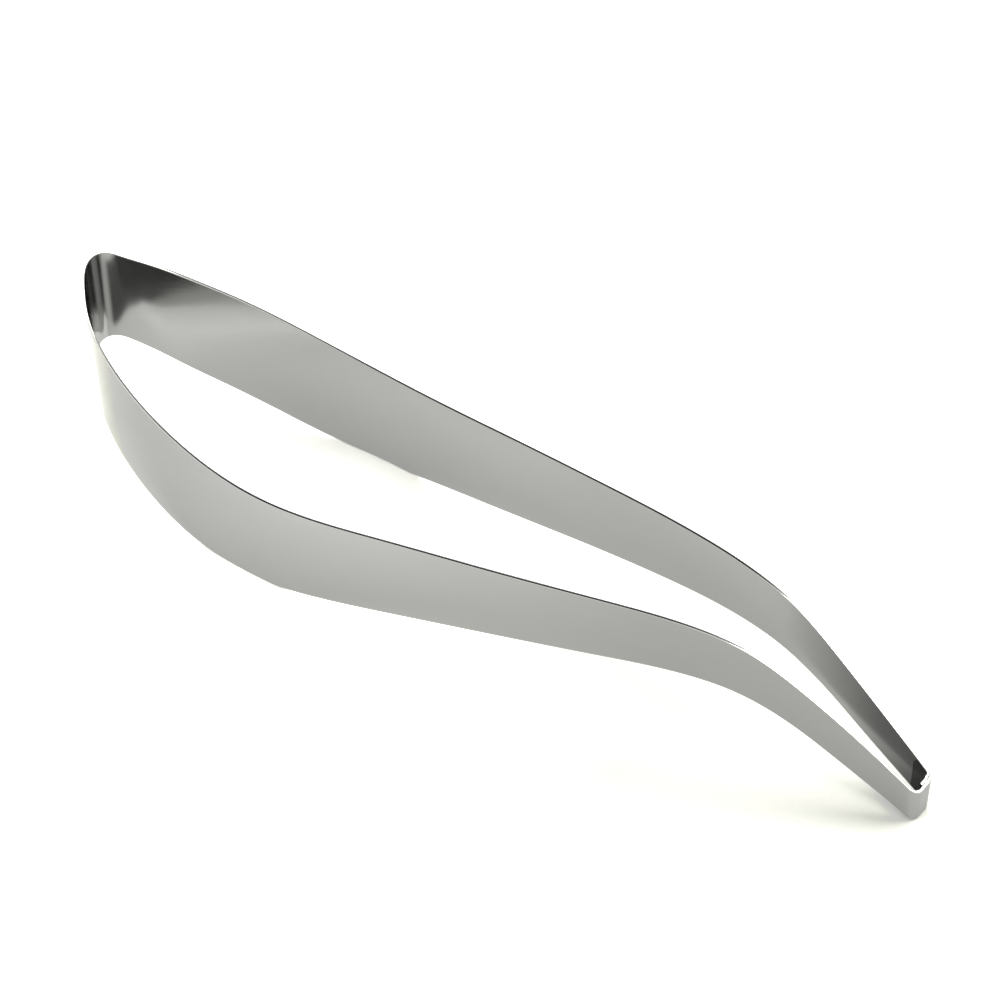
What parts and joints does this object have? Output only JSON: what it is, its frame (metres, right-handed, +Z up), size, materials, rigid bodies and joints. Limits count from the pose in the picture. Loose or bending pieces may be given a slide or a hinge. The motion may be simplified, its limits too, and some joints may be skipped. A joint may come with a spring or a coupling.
{
  "type": "serving tongs",
  "caption": "Closed leaf-shaped loop of thin steel strip, squeezed to grip a slice or ice and sprung open; S-shaped in side view, closed by a welded lap at the tail.",
  "frame": {"origin": "middle of the bounding box at table level", "axes": "+X from the nose to the tail held in the hand, +Y to the right of the person holding the tail, +Z up"},
  "size_m": [0.2882, 0.066, 0.0589],
  "materials": {
    "polished_steel": "satin polished stainless strip",
    "weld_steel": "fused steel of the spot welds"
  },
  "bodies": {
    "nose": {"nose_bend": "polished_steel"},
    "left_blade": {"left_blade": "polished_steel"},
    "right_blade": {"right_blade": "polished_steel"},
    "left_handle": {"left_handle": "polished_steel"},
    "right_handle": {"right_handle": "polished_steel"},
    "tail": {"tail_wrap": "polished_steel", "tail_tab": "polished_steel", "tail_spot_welds": "weld_steel"}
  },
  "joints": [
    {"name": "squeeze", "type": "hinge", "parent": "nose", "child": "right_blade", "pos_m": [-0.13461, 0.01325, 0.02], "axis": [0, 0, -1], "range_deg": [0, 3], "stiffness_Nm_per_rad": 12},
    {"name": "left_nose_flex", "type": "hinge", "parent": "nose", "child": "left_blade", "pos_m": [-0.13461, -0.01325, 0.02], "axis": [0, 0, 1], "range_deg": [0, 3], "stiffness_Nm_per_rad": 3.4},
    {"name": "right_grip_flex", "type": "hinge", "parent": "right_blade", "child": "right_handle", "pos_m": [0.04304, 0.02025, 0.02], "axis": [0, 0, 1], "range_deg": [0, 9.2], "stiffness_Nm_per_rad": 1},
    {"name": "left_grip_flex", "type": "hinge", "parent": "left_blade", "child": "left_handle", "pos_m": [0.04304, -0.02025, 0.02], "axis": [0, 0, -1], "range_deg": [0, 9.2], "stiffness_Nm_per_rad": 1},
    {"name": "left_tail_flex", "type": "hinge", "parent": "left_handle", "child": "tail", "pos_m": [0.13045, -0.00553, 0.02], "axis": [0, 0, 1], "range_deg": [0, 6.2], "stiffness_Nm_per_rad": 0.05}
  ],
  "couplings": [
    {"joint": "left_nose_flex", "follows": "squeeze", "ratio": 1},
    {"joint": "right_grip_flex", "follows": "squeeze", "ratio": 3.0207},
    {"joint": "left_grip_flex", "follows": "squeeze", "ratio": 3.0207},
    {"joint": "left_tail_flex", "follows": "squeeze", "ratio": 2.0207}
  ]
}
